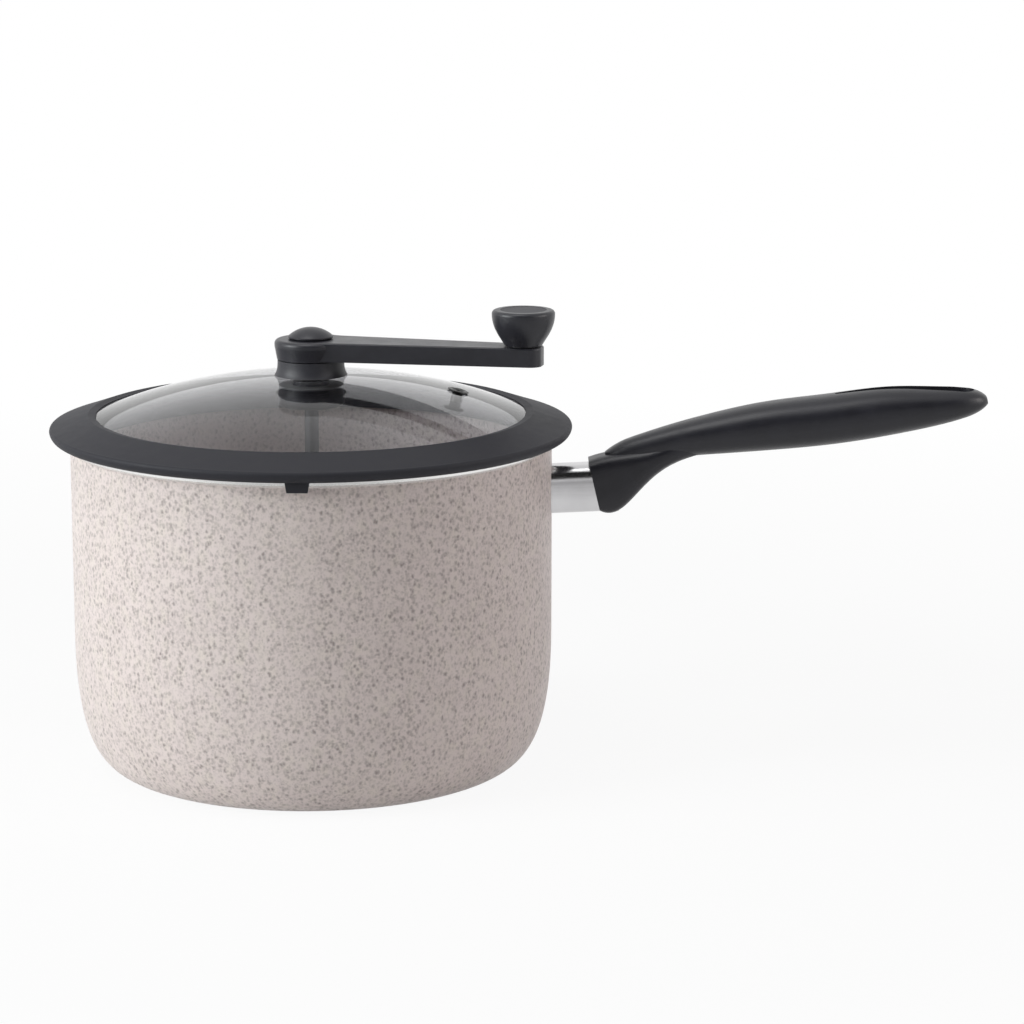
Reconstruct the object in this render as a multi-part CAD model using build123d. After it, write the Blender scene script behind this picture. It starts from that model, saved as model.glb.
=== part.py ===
"""Stovetop popcorn popper: a deep pot with a long handle, a glass lid and a crank that turns a stirrer.

Frame: millimetres, +Z up, origin in the middle of the pot's underside. The handle points along +X.
"""
from build123d import *
from math import asin, cos, degrees, pi, radians, sin, sqrt, tan
import os

# ---- pot ----
POT_R = 102.0             # outside of the straight wall
POT_H = 144.0             # underside to the top of the lip
WALL = 2.5
FLOOR = 4.0               # thickness of the bottom
BASE_R = 78.8             # flat part of the underside
CORNER_H = 58.0           # height at which the rounded corner becomes the straight wall
CORNER_PULL_R = 16.2      # how far the corner keeps along the floor
CORNER_PULL_Z = 38.0      # how far the corner keeps along the wall
LIP_OUT = 1.4             # how far the bare lip stands out of the wall
LIP_H = 3.4
LIP_ROUND = 1.0
DISC_IN = 6.8             # edge of the steel disc inside the flat underside's edge
DISC_T = 1.2

# ---- lid ----
SEAT_GAP = 0.2            # between the lip and the seal's seat
DOME_R = 258.2            # radius of the dome's outer surface
GLASS_T = 4.0
GLASS_RISE = 7.6          # glass above the pot's lip where the seal's thin lip ends on it
GLASS_IN = 2.0            # glass edge inside the pot's inner wall
SEAL_OUT = 8.6            # widest part of the seal past the pot's wall
SEAL_CREST_IN = 7.8       # crest of the seal inside the pot's wall
SEAL_LIP_IN = 11.0        # end of the seal's thin lip inside the pot's wall
SEAL_LIP_T = 0.3
SEAL_CREST = 8.5          # crest above the pot's lip
SEAL_EDGE = 3.4           # upper outer edge above the pot's lip
SEAL_EDGE_IN = 1.3        # the upper outer edge stands this far inside the widest part
# Outer side of the seal: (inside the widest part, below the upper outer edge).
SEAL_SIDE = [(0.3, 0.5), (0.0, 1.2), (0.2, 2.4), (0.9, 3.6), (2.2, 4.5)]
SEAL_UNDER = 1.8          # lower outer edge below the pot's lip
SEAL_UNDER_OUT = 3.4      # lower outer edge past the pot's wall
SEAL_RIM_GAP = 0.8        # round the outside of the lip
SEAL_BED = 1.6            # rubber under the glass at the skirt
SEAL_BED_TIP = 0.5        # rubber under the glass at its inner end
SKIRT_DEPTH = 7.0         # skirt below the pot's lip
SKIRT_T = 3.5
SKIRT_GAP = 0.5           # between the skirt and the inside of the wall
TAB_W = 9.8
TAB_TAPER = 0.7           # how far each side draws in
TAB_DROP = 4.0            # below the seal's lower edge
TAB_ROOT = 1.5            # into the seal
TAB_T = 2.0
TAB_GAP = 0.5             # in front of the lip
VENT_POS_R = 62.6         # vent's distance from the axis, on the handle's side
EYELET_R = 2.45
EYELET_T = 0.75           # wall of its tube
EYELET_FLANGE = 1.25      # flange past its tube
EYELET_FLANGE_T = 0.5
EYELET_FIT = 0.05         # in the glass

# ---- collar that carries the shaft ----
GASKET_T = 1.0
GASKET_IN = 0.1           # upper gasket's edge inside its recess in the collar
GASKET_HOLE_GAP = 0.3     # round the spigot, in the glass and in the gaskets
COLLAR_H = 6.5            # top of the glass to the top of the collar
COLLAR_R = 14.1           # at its top
COLLAR_FOOT_R = 15.4      # at its flared foot
COLLAR_FOOT_GAP = 0.4     # foot above the glass
COLLAR_SKIRT_T = 1.1      # wall of the foot round the upper gasket
FLARE_H = 4.0
SPIGOT_T = 1.1            # spigot past the lower bush's flange
SPIGOT_IN_NUT = 5.8
NUT_R = 14.3
NUT_H = 8.4
NUT_ROUND = 2.0
GASKET_UNDER_R = 13.8
BUSH_T = 1.6
BUSH_FLANGE = 2.0         # flange past the bush
BUSH_FLANGE_T = 1.0
BUSH_L = 8.0
BUSH_PROUD = 0.25         # upper bush above the collar's top

# ---- shaft and stirrer ----
SHAFT_R = 3.0
SHAFT_FIT = 0.05          # running clearance round the shaft
SHAFT_FLAT = 0.7          # depth of each of the two flats at its top
SHAFT_FLAT_FIT = 0.05
SHAFT_SHORT = 0.1         # shaft's top below the washer
THRUST_OUT = 2.8          # thrust washer past the shaft
THRUST_T = 0.8
THRUST_GAP = 0.1
CLIP_OUT = 2.2            # circlip past the shaft
CLIP_T = 0.8
CLIP_GROOVE = 0.5
CLIP_OPEN = 4.0
STIRRER_GAP = 2.0         # stirrer above the pot's floor
STIRRER_HUB_T = 4.0       # wall of the stirrer's hub
STIRRER_HUB_H = 13.0
STIRRER_SOCKET = 1.5      # hub's floor under the shaft
STIRRER_PIN_R = 1.25
STIRRER_PIN_DROP = 3.5    # pin below the hub's top
BLADE_GAP = 11.5          # blade's tip to the pot's inner wall
BLADE_KNEE_IN = 4.8       # flat part of the blade ends this far inside the flat floor
BLADE_H = 11.0
BLADE_T = 1.5
BLADE_TILT = 18.0
BLADE_TOE_RISE = 9.0
BLADE_TOE_IN = 2.0        # top of the raised end draws in
BLADE_TURNS = (35.0, 215.0)

# ---- crank ----
CRANK_GAP = 0.15          # hub above the upper bush
CRANK_T = 8.3
CRANK_TURN = -12.5        # arm's direction at rest, from the handle's
HUB_R = 15.3              # at the top of the hub
HUB_FOOT_R = 14.3
HUB_BAND = 1.0            # straight band under the hub's rounded edge
HUB_ROUND = 1.8
ARM_LENGTH = 92.0         # shaft's axis to knob's axis
ARM_END = 8.2             # past the knob's axis
ARM_W_HUB = 24.0
ARM_W_END = 13.6
ARM_T = 8.0
ARM_WAIST = 18.0          # hollow round where the arm's sides run into the hub
ARM_CORNER = 5.0
ARM_ROUND = 0.9
WELL_R = 6.6              # well in the hub for the screw
WELL_FLOOR = 3.6          # thickness left under the well
CAP_R = 9.5
CAP_EDGE = 1.1            # widest part above the hub
CAP_H = 4.8
CAP_SEAT = 0.1
CAP_T = 1.2
CAP_CHAMFER = 0.6
CAP_PLUG = 2.2
CAP_PLUG_T = 1.0
CAP_PLUG_FIT = 0.1
SCREW_R = 2.0
SCREW_HEAD_R = 3.7
SCREW_HEAD_H = 2.2
SCREW_L = 12.0
CRANK_WASHER_R = 5.2
WASHER_T = 0.8

# ---- knob ----
KNOB_BASE_R = 7.9
KNOB_R = 13.2
KNOB_H = 14.8
KNOB_FLARE_OUT = 1.9      # the side's first pull: outwards
KNOB_FLARE_LOW = 3.4      # and its height above the knob's foot
KNOB_FLARE_HIGH = 7.0     # height of the side's second pull
KNOB_ROUND = 1.6
KNOB_GAP = 0.1            # knob above its washer
KNOB_WASHER_R = 6.0
KNOB_WASHER_T = 0.4
SPINDLE_R = 2.5
SPINDLE_FIT = 0.06
SPINDLE_HEAD_R = 4.2
SPINDLE_HEAD_T = 1.8
SPINDLE_HEAD_FIT = 0.2
SPINDLE_HEAD_SUNK = 0.4
KNOB_BORE_L = 7.4
RETAINER_R = 4.6
RETAINER_T = 0.7
RETAINER_GAP = 0.2
RETAINER_ROOM = 1.0       # knob's pocket round the retainer
SPINDLE_PAST = 1.0        # spindle past its retainer
KNOB_CAP_R = 9.6
KNOB_CAP_T = 1.4
KNOB_CAP_SUNK = 0.1
KNOB_CAP_FIT = 0.1

# ---- handle ----
HANDLE_DROP = 25.1        # handle's axis at the wall, below the pot's lip
HANDLE_RISE = 2.5         # guard's slope in degrees
GUARD_L = 18.0            # wall to the handle's front face, on the handle's axis
GUARD_W = 17.0
GUARD_H = 20.4
GUARD_WALL = 0.8
GUARD_POWER = 4.0         # squareness of the oval sections: 2 is an ellipse
GRIP_POWER = 2.4
FACE_LEAN = 13.0          # front face from the vertical
SPIGOT_L = 7.0            # handle's spigot inside the guard
SPIGOT_FIT = 0.15
PAD_IN = 2.0              # bracket's pad inside the guard, all round
PAD_T = 3.0
TONGUE_T = 5.0
TONGUE_H = 9.0
TONGUE_L = 12.0           # past the front face
TONGUE_FIT = 0.15
FIX_X = 7.2               # handle screw past the front face
FIX_SEAT = 7.6            # screw's seat below the handle's axis
FIX_HEAD_R = 3.6
FIX_HEAD_H = 2.0
FIX_R = 2.0
FIX_PAST = 1.0            # screw past the tongue
FIX_WELL_FIT = 0.3
FIX_TIP_GAP = 0.5
CROSS_L = 4.2             # cross recess of the screws
CROSS_W = 0.9
CROSS_DEPTH = 1.2
GRIP_START = 4.6          # grip's nose past the front face
GRIP_L = 161.8            # nose to tip
GRIP_W = 26.0             # widest
SLOT_L = 59.0             # hanging slot, end to end
SLOT_R = 5.8
SLOT_POINT_R = 1.2
SLOT_END = 5.5            # handle left past the slot

# Block sections: (past the front face, above the axis, height, width, lean, squareness).
BLOCK = [
    (0.0, 1.9, 22.2, 18.6, FACE_LEAN, 5.0),
    (7.6, 3.1, 24.3, 18.8, 14.2, 4.5),
    (14.3, 6.6, 19.9, 18.8, 16.0, 4.0),
    (22.3, 11.2, 13.5, 18.4, 20.5, 3.2),
    (34.1, 16.7, 9.8, 17.4, 25.0, 2.8),
    (52.0, 22.2, 8.0, 15.0, 12.0, 2.4),
]
# Grip sections: (share of GRIP_L, above the axis, height, share of GRIP_W, lean).
GRIP = [
    (0.000, 14.5, 2.6, 0.17, 0.0),
    (0.014, 13.9, 6.8, 0.37, 5.0),
    (0.044, 14.2, 11.5, 0.48, 10.0),
    (0.096, 16.5, 13.3, 0.57, 15.0),
    (0.175, 20.2, 14.1, 0.68, 16.0),
    (0.284, 23.6, 17.0, 0.84, 12.7),
    (0.436, 27.2, 20.4, 0.96, 8.8),
    (0.589, 30.0, 21.1, 1.00, 9.4),
    (0.764, 34.0, 19.7, 0.96, 11.8),
    (0.892, 36.3, 15.1, 0.84, 13.8),
    (0.971, 38.0, 9.5, 0.60, 12.0),
    (1.000, 38.3, 3.4, 0.24, 12.0),
]

# ---- sizes, heights and places worked out from the sizes above ----
INNER_R = POT_R - WALL
DISC_R = BASE_R - DISC_IN
SEAL_R = POT_R + SEAL_OUT
SEAL_LIP_R = POT_R - SEAL_LIP_IN
GLASS_R = INNER_R - GLASS_IN
BUSH_R = SHAFT_R + BUSH_T
BUSH_FLANGE_R = BUSH_R + BUSH_FLANGE
SPIGOT_R = BUSH_FLANGE_R + SPIGOT_T
HOLE_R = SPIGOT_R + GASKET_HOLE_GAP
GASKET_R = COLLAR_FOOT_R - COLLAR_SKIRT_T - GASKET_IN
STIRRER_HUB_R = SHAFT_R + STIRRER_HUB_T
DOME_TOP = POT_H + GLASS_RISE + DOME_R - sqrt(DOME_R ** 2 - SEAL_LIP_R ** 2)
DOME_CENTRE = DOME_TOP - DOME_R
COLLAR_TOP = DOME_TOP + COLLAR_H
NUT_TOP = DOME_TOP - GLASS_T - GASKET_T
SPIGOT_END = NUT_TOP - SPIGOT_IN_NUT
BUSH_TOP = COLLAR_TOP + BUSH_PROUD
BUSH_END = SPIGOT_END - BUSH_FLANGE_T
HUB_FOOT = BUSH_TOP + CRANK_GAP
HUB_TOP = HUB_FOOT + CRANK_T
WELL_Z = HUB_FOOT + WELL_FLOOR
SHAFT_TOP = WELL_Z - SHAFT_SHORT
THRUST_Z = BUSH_END - THRUST_GAP - THRUST_T
CLIP_Z = THRUST_Z - CLIP_T
STIRRER_Z = FLOOR + STIRRER_GAP
KNOB_Z = HUB_TOP + KNOB_WASHER_T + KNOB_GAP
POCKET_Z = KNOB_Z + KNOB_BORE_L
SPINDLE_Z = HUB_FOOT + SPINDLE_HEAD_SUNK
HANDLE_Z = POT_H - HANDLE_DROP
FACE_X = POT_R + GUARD_L
FACE_Z = HANDLE_Z + GUARD_L * tan(radians(HANDLE_RISE))
CRANK = Rot(0, 0, CRANK_TURN)
KNOB_AXIS = CRANK * Pos(ARM_LENGTH, 0, 0)


def turned(*outline):
    """A solid turned about the Z axis from a closed outline of (radius, height)."""
    return revolve(Plane.XZ * make_face(outline), Axis.Z)


def ring(inner, outer, low, high):
    """A washer or sleeve on the Z axis."""
    face = Circle(outer) - Circle(inner) if inner else Circle(outer)
    return Pos(0, 0, low) * extrude(face, high - low)


def dome_z(radius, depth=0.0):
    """Height of the dome's surface, or of a surface at a depth below it."""
    return DOME_CENTRE + sqrt((DOME_R - depth) ** 2 - radius ** 2)


def dome_ball(depth=0.0):
    """The ball whose top is the dome's surface."""
    return Pos(0, 0, DOME_CENTRE) * Sphere(DOME_R - depth)


# ---------------------------------------------------------------- pot
def pot_profile(radius, base, floor, top):
    """Line from the axis along the floor, round the corner and up the wall."""
    pull_r = min(CORNER_PULL_R, radius - base)
    pull_z = CORNER_H - CORNER_PULL_Z
    return [
        Line((0, floor), (base, floor)),
        Bezier((base, floor), (base + pull_r, floor), (radius, pull_z), (radius, CORNER_H)),
        Line((radius, CORNER_H), (radius, top)),
    ]


def pot_shell():
    lip_r = POT_R + LIP_OUT
    lip_z = POT_H - LIP_H
    outside = pot_profile(POT_R, BASE_R, 0, lip_z - LIP_OUT)
    inside = pot_profile(INNER_R, BASE_R, FLOOR, POT_H - LIP_ROUND)
    lip = [
        Line((POT_R, lip_z - LIP_OUT), (lip_r, lip_z)),
        Line((lip_r, lip_z), (lip_r, POT_H - LIP_ROUND)),
        CenterArc((lip_r - LIP_ROUND, POT_H - LIP_ROUND), LIP_ROUND, 0, 90),
        Line((lip_r - LIP_ROUND, POT_H), (INNER_R + LIP_ROUND, POT_H)),
        CenterArc((INNER_R + LIP_ROUND, POT_H - LIP_ROUND), LIP_ROUND, 90, 90),
    ]
    shell = turned(*outside, *lip, *inside, Line((0, 0), (0, FLOOR)))
    return shell - ring(0, DISC_R, 0, DISC_T)


def base_disc():
    return ring(0, DISC_R, 0, DISC_T)


# ---------------------------------------------------------------- handle
def oval(width, height, power):
    """Closed oval outline, between an ellipse and a rectangle."""
    count = 24
    points = []
    for step in range(count):
        angle = 2 * pi * step / count
        c, s = cos(angle), sin(angle)
        points.append((
            width / 2 * abs(c) ** (2 / power) * (1 if c >= 0 else -1),
            height / 2 * abs(s) ** (2 / power) * (1 if s >= 0 else -1),
        ))
    return make_face(Spline(*points, periodic=True))


def across(x, z, lean):
    """Plane across the handle, its top leaning back towards the pot."""
    angle = radians(lean)
    return Plane(origin=(x, 0, z), x_dir=(0, 1, 0), z_dir=(cos(angle), 0, sin(angle)))


def guard_bar(width, height, start, end):
    """A straight oval bar on the guard's rising axis; start and end are from where the axis meets the face."""
    plane = across(FACE_X, FACE_Z, HANDLE_RISE).offset(start)
    return extrude(plane * oval(width, height, GUARD_POWER), end - start)


def flame_guard():
    """Oval steel sleeve, cut to the wall at one end and to the handle's slanted face at the other."""
    back, front = -GUARD_L - GUARD_W / 2, GUARD_H
    inside = guard_bar(GUARD_W - 2 * GUARD_WALL, GUARD_H - 2 * GUARD_WALL, back, front)
    tube = guard_bar(GUARD_W, GUARD_H, back, front) - inside
    tube = split(tube, bisect_by=across(FACE_X, HANDLE_Z + BLOCK[0][1], FACE_LEAN), keep=Keep.BOTTOM)
    return tube - ring(0, POT_R, 0, POT_H)


def tongue(extra=0.0):
    """The bracket's flat tongue, or the slot that it lies in."""
    length = FACE_X + TONGUE_L + extra - POT_R
    return Pos(POT_R + length / 2, 0, FACE_Z) * Box(length, TONGUE_T + 2 * extra, TONGUE_H + 2 * extra)


def handle_bracket():
    """Pad welded to the wall, and the tongue that the handle is screwed to."""
    inside = 2 * (GUARD_WALL + PAD_IN)
    pad = guard_bar(GUARD_W - inside, GUARD_H - inside, -GUARD_L - PAD_T, -GUARD_L + PAD_T)
    return pad + tongue() - ring(0, POT_R, 0, POT_H) - fix_hole(FIX_R)


def fix_hole(radius):
    """Hole on the handle screw's axis, from below the block to past the tongue."""
    top = FACE_Z + TONGUE_H / 2 + FIX_PAST + FIX_TIP_GAP
    return Pos(FACE_X + FIX_X, 0, 0) * ring(0, radius, FACE_Z - GUARD_H, top)


def handle_screw():
    seat = FACE_Z - FIX_SEAT - WASHER_T
    head = ring(0, FIX_HEAD_R, seat - FIX_HEAD_H, seat)
    drive = Pos(0, 0, seat - FIX_HEAD_H) * cross_slot()
    shank = ring(0, FIX_R, seat, FACE_Z + TONGUE_H / 2 + FIX_PAST)
    return Pos(FACE_X + FIX_X, 0, 0) * (head + shank - drive)


def cross_slot():
    """Cross recess of a screw's head."""
    return Box(CROSS_L, CROSS_W, CROSS_DEPTH * 2) + Box(CROSS_W, CROSS_L, CROSS_DEPTH * 2)


def handle_washer():
    seat = FACE_Z - FIX_SEAT
    return Pos(FACE_X + FIX_X, 0, 0) * ring(FIX_R, FIX_HEAD_R, seat - WASHER_T, seat)


def grip_blank():
    """The handle before its slot and holes: a square block and neck, and the oval grip that starts on its top."""
    block = [
        across(FACE_X + x, HANDLE_Z + z, lean) * oval(w, h, power)
        for x, z, h, w, lean, power in BLOCK
    ]
    start = FACE_X + GRIP_START
    grip = [
        across(start + share * GRIP_L, HANDLE_Z + z, lean) * oval(w * GRIP_W, h, GRIP_POWER)
        for share, z, h, w, lean in GRIP
    ]
    return loft(block) + loft(grip)


def hanging_slot():
    """Long drop-shaped hole, straight down through the handle's tail."""
    tip = FACE_X + GRIP_START + GRIP_L
    wide = tip - SLOT_END - SLOT_R
    narrow = tip - SLOT_END - SLOT_L + SLOT_POINT_R
    rounds = Pos(wide, 0) * Circle(SLOT_R) + Pos(narrow, 0) * Circle(SLOT_POINT_R)
    return Pos(0, 0, HANDLE_Z) * extrude(make_hull(rounds.edges()), 3 * GUARD_H)


def handle_grip():
    fit = 2 * (GUARD_WALL + SPIGOT_FIT)
    spigot = guard_bar(GUARD_W - fit, GUARD_H - fit, -SPIGOT_L, SPIGOT_L)
    well = Pos(FACE_X + FIX_X, 0, 0) * ring(0, FIX_HEAD_R + FIX_WELL_FIT, FACE_Z - GUARD_H, FACE_Z - FIX_SEAT)
    grip = grip_blank() + spigot
    return grip - tongue(TONGUE_FIT) - fix_hole(FIX_R + SPIGOT_FIT) - well - hanging_slot()


# ---------------------------------------------------------------- lid
def lid_disc():
    """The glass before its holes."""
    return (dome_ball() - dome_ball(GLASS_T)) & ring(0, GLASS_R, POT_H, DOME_TOP + GLASS_T)


def on_vent(solid):
    """Put a solid made round the Z axis, with the dome's surface at its origin, where the vent is."""
    tilt = degrees(asin(VENT_POS_R / DOME_R))
    return Pos(0, 0, DOME_CENTRE) * Rot(0, tilt, 0) * Pos(0, 0, DOME_R) * solid


def lid_glass():
    hole = ring(0, HOLE_R, POT_H, DOME_TOP + GLASS_T)
    vent = on_vent(ring(0, EYELET_R + EYELET_FIT, -2 * GLASS_T, GLASS_T))
    return lid_disc() - hole - vent


def vent_eyelet():
    tube = ring(0, EYELET_R, -GLASS_T, 0)
    flange_r = EYELET_R + EYELET_FLANGE
    flanges = ring(0, flange_r, 0, EYELET_FLANGE_T) + ring(0, flange_r, -GLASS_T - EYELET_FLANGE_T, -GLASS_T)
    eyelet = on_vent(tube + flanges - ring(0, EYELET_R - EYELET_T, -2 * GLASS_T, GLASS_T))
    return eyelet - lid_glass()


def lid_seal():
    edge_r = SEAL_R - SEAL_EDGE_IN
    edge_z = POT_H + SEAL_EDGE
    skirt_r = INNER_R - SKIRT_GAP
    skirt_in = skirt_r - SKIRT_T
    rim_r = POT_R + LIP_OUT + SEAL_RIM_GAP
    seat = POT_H + SEAT_GAP
    skirt_z = POT_H - SKIRT_DEPTH
    under = POT_H - SEAL_UNDER
    side = [(SEAL_R - inside, edge_z - below) for inside, below in SEAL_SIDE]
    outline = [
        Polyline(
            (SEAL_LIP_R, dome_z(SEAL_LIP_R, GLASS_T) - SEAL_BED_TIP),
            (SEAL_LIP_R, dome_z(SEAL_LIP_R) + SEAL_LIP_T),
            (POT_R - SEAL_CREST_IN, POT_H + SEAL_CREST),
            (edge_r, edge_z),
        ),
        Spline((edge_r, edge_z), *side, (POT_R + SEAL_UNDER_OUT, under)),
        Polyline(
            (POT_R + SEAL_UNDER_OUT, under),
            (rim_r, under),
            (rim_r, seat),
            (skirt_r, seat),
            (skirt_r, skirt_z),
            (skirt_in, skirt_z),
            (skirt_in, dome_z(skirt_in, GLASS_T) - SEAL_BED),
            (SEAL_LIP_R, dome_z(SEAL_LIP_R, GLASS_T) - SEAL_BED_TIP),
        ),
    ]
    return turned(*outline) - lid_disc() + seal_tab()


def seal_tab():
    """Small lug that hangs from the seal in front of the lip."""
    top = POT_H - SEAL_UNDER
    half = TAB_W / 2
    tip = half - TAB_TAPER
    low = top - TAB_DROP
    root = top + TAB_ROOT
    face = make_face(Polyline(
        (-half, root), (half, root), (half, top), (tip, low), (-tip, low), (-half, top), close=True))
    middle = POT_R + LIP_OUT + TAB_GAP + TAB_T / 2
    return Pos(0, -middle, 0) * extrude(Plane.XZ * face, TAB_T / 2, both=True)


# ---------------------------------------------------------------- collar
def gasket_top():
    return ring(HOLE_R, GASKET_R, DOME_TOP - GASKET_T, DOME_TOP + GASKET_T) - dome_ball()


def gasket_bottom():
    low = DOME_TOP - GLASS_T - GASKET_T
    return ring(HOLE_R, GASKET_UNDER_R, low, DOME_TOP) & dome_ball(GLASS_T)


def collar_top():
    foot = dome_z(COLLAR_FOOT_R) + COLLAR_FOOT_GAP
    flare = foot + FLARE_H
    seat = DOME_TOP + GASKET_T
    recess_r = GASKET_R + GASKET_IN
    outline = [
        Polyline((0, SPIGOT_END), (SPIGOT_R, SPIGOT_END), (SPIGOT_R, seat), (recess_r, seat),
                 (recess_r, foot), (COLLAR_FOOT_R, foot)),
        Bezier((COLLAR_FOOT_R, foot), (COLLAR_R, foot + FLARE_H / 2), (COLLAR_R, flare), (COLLAR_R, COLLAR_TOP)),
        Polyline((COLLAR_R, COLLAR_TOP), (0, COLLAR_TOP), (0, SPIGOT_END)),
    ]
    flange_seat = ring(0, BUSH_FLANGE_R, BUSH_TOP - BUSH_FLANGE_T, BUSH_TOP)
    return turned(*outline) - ring(0, BUSH_R, SPIGOT_END, BUSH_TOP) - flange_seat


def collar_nut():
    low = NUT_TOP - NUT_H
    outline = [
        Polyline((SPIGOT_R, NUT_TOP), (SPIGOT_R, low), (NUT_R - NUT_ROUND, low)),
        CenterArc((NUT_R - NUT_ROUND, low + NUT_ROUND), NUT_ROUND, -90, 90),
        Polyline((NUT_R, low + NUT_ROUND), (NUT_R, NUT_TOP), (SPIGOT_R, NUT_TOP)),
    ]
    return turned(*outline)


def bush_upper():
    low = BUSH_TOP - BUSH_FLANGE_T
    bore = SHAFT_R + SHAFT_FIT
    return ring(bore, BUSH_FLANGE_R, low, BUSH_TOP) + ring(bore, BUSH_R, BUSH_TOP - BUSH_L, low)


def bush_lower():
    bore = SHAFT_R + SHAFT_FIT
    return ring(bore, BUSH_FLANGE_R, BUSH_END, SPIGOT_END) + ring(bore, BUSH_R, SPIGOT_END, BUSH_END + BUSH_L)


# ---------------------------------------------------------------- shaft and stirrer
def drive_shaft():
    rod = ring(0, SHAFT_R, STIRRER_Z + STIRRER_SOCKET, SHAFT_TOP)
    rod -= ring(0, SHAFT_R, HUB_FOOT, SHAFT_TOP) - flatted(SHAFT_R, SHAFT_R - SHAFT_FLAT)
    groove = ring(SHAFT_R - CLIP_GROOVE, SHAFT_R + CLIP_OUT, CLIP_Z, CLIP_Z + CLIP_T)
    screw_hole = ring(0, SCREW_R, SHAFT_TOP - SCREW_L, SHAFT_TOP)
    return rod - groove - screw_hole - stirrer_pin()


def flatted(radius, flat):
    """Round bar with two flats, along the crank's hub, turned as the crank is."""
    height = SHAFT_TOP - HUB_FOOT
    bar = ring(0, radius, HUB_FOOT, SHAFT_TOP)
    return bar & CRANK * Pos(0, 0, HUB_FOOT + height / 2) * Box(4 * radius, 2 * flat, 2 * height)


def thrust_washer():
    return ring(SHAFT_R + SHAFT_FIT, SHAFT_R + THRUST_OUT, THRUST_Z, THRUST_Z + THRUST_T)


def shaft_circlip():
    clip_r = SHAFT_R + CLIP_OUT
    gap = Pos(clip_r, 0, CLIP_Z + CLIP_T / 2) * Box(2 * clip_r, CLIP_OPEN, 2 * CLIP_T)
    return ring(SHAFT_R - CLIP_GROOVE, clip_r, CLIP_Z, CLIP_Z + CLIP_T) - CRANK * gap


def stirrer_pin():
    height = STIRRER_Z + STIRRER_HUB_H - STIRRER_PIN_DROP
    return Pos(0, 0, height) * Rot(90, 0, 0) * Cylinder(STIRRER_PIN_R, 2 * STIRRER_HUB_R)


def stirrer_hub():
    top = STIRRER_Z + STIRRER_HUB_H
    socket = ring(0, SHAFT_R, STIRRER_Z + STIRRER_SOCKET, top)
    return ring(0, STIRRER_HUB_R, STIRRER_Z, top) - socket - stirrer_pin()


def stirrer_blade(turn):
    """Flat strip that sweeps the floor, its outer end raised to follow the pot's corner."""
    reach = INNER_R - BLADE_GAP
    knee = BASE_R - BLADE_KNEE_IN
    outline = make_face(Polyline(
        (0, 0), (knee, 0), (reach, BLADE_TOE_RISE), (reach - BLADE_TOE_IN, BLADE_TOE_RISE + BLADE_H / 2),
        (knee, BLADE_H), (0, BLADE_H), close=True))
    strip = extrude(Plane.XZ * outline, BLADE_T / 2, both=True)
    strip = Rot(0, 0, turn) * Pos(0, 0, STIRRER_Z) * Rot(BLADE_TILT, 0, 0) * strip
    return max((strip - ring(0, STIRRER_HUB_R, 0, POT_H)).solids(), key=lambda part: part.volume)


# ---------------------------------------------------------------- crank
def crank_arm():
    band = HUB_TOP - HUB_ROUND
    hub = turned(
        Polyline((0, HUB_FOOT), (HUB_FOOT_R, HUB_FOOT), (HUB_R, band - HUB_BAND), (HUB_R, band)),
        CenterArc((HUB_R - HUB_ROUND, band), HUB_ROUND, 0, 90),
        Polyline((HUB_R - HUB_ROUND, HUB_TOP), (0, HUB_TOP), (0, HUB_FOOT)),
    )
    end = ARM_LENGTH + ARM_END
    half = ARM_W_HUB / 2
    tip = ARM_W_END / 2
    plan = Circle(HUB_FOOT_R) + make_face(Polyline((0, -half), (end, -tip), (end, tip), (0, half), close=True))
    waist = [corner for corner in plan.vertices() if abs(corner.Y) > tip and corner.X > 0]
    plan = fillet(waist, ARM_WAIST)
    bar = Pos(0, 0, HUB_TOP - ARM_T) * extrude(plan, ARM_T)
    bar = fillet(bar.edges().filter_by(Axis.Z).group_by(Axis.X)[-1], ARM_CORNER)
    bar = fillet(bar.faces().sort_by(Axis.Z)[-1].edges(), ARM_ROUND)
    well = ring(0, WELL_R, WELL_Z, HUB_TOP)
    drive = flatted(SHAFT_R + SHAFT_FLAT_FIT, SHAFT_R - SHAFT_FLAT + SHAFT_FLAT_FIT)
    drive += ring(0, SCREW_R, SHAFT_TOP, WELL_Z)
    sunk = ring(0, SPINDLE_HEAD_R + SPINDLE_HEAD_FIT, HUB_FOOT, SPINDLE_Z + SPINDLE_HEAD_T)
    hole = ring(0, SPINDLE_R, HUB_FOOT, HUB_TOP)
    return CRANK * (hub + bar - well) - drive - KNOB_AXIS * (sunk + hole)


def crank_washer():
    return ring(SCREW_R, CRANK_WASHER_R, WELL_Z, WELL_Z + WASHER_T)


def crank_screw():
    seat = WELL_Z + WASHER_T
    screw = ring(0, SCREW_HEAD_R, seat, seat + SCREW_HEAD_H) + ring(0, SCREW_R, SHAFT_TOP - SCREW_L, seat)
    return screw - Pos(0, 0, seat + SCREW_HEAD_H) * cross_slot()


def crank_cap():
    """Mushroom cap over the screw, with a ring that plugs into the well."""
    low = HUB_TOP + CAP_SEAT
    top = low + CAP_H
    plug_r = WELL_R - CAP_PLUG_FIT
    plug_in = plug_r - CAP_PLUG_T
    shoulder = low + CAP_EDGE
    outline = [
        Polyline((0, low + CAP_T), (plug_in, low + CAP_T), (plug_in, low - CAP_PLUG),
                 (plug_r, low - CAP_PLUG), (plug_r, low), (CAP_R - CAP_CHAMFER, low),
                 (CAP_R, low + CAP_CHAMFER), (CAP_R, shoulder)),
        TangentArc((0, top), (CAP_R, shoulder), tangent=(1, 0)),
        Line((0, top), (0, low + CAP_T)),
    ]
    return turned(*outline)


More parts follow.
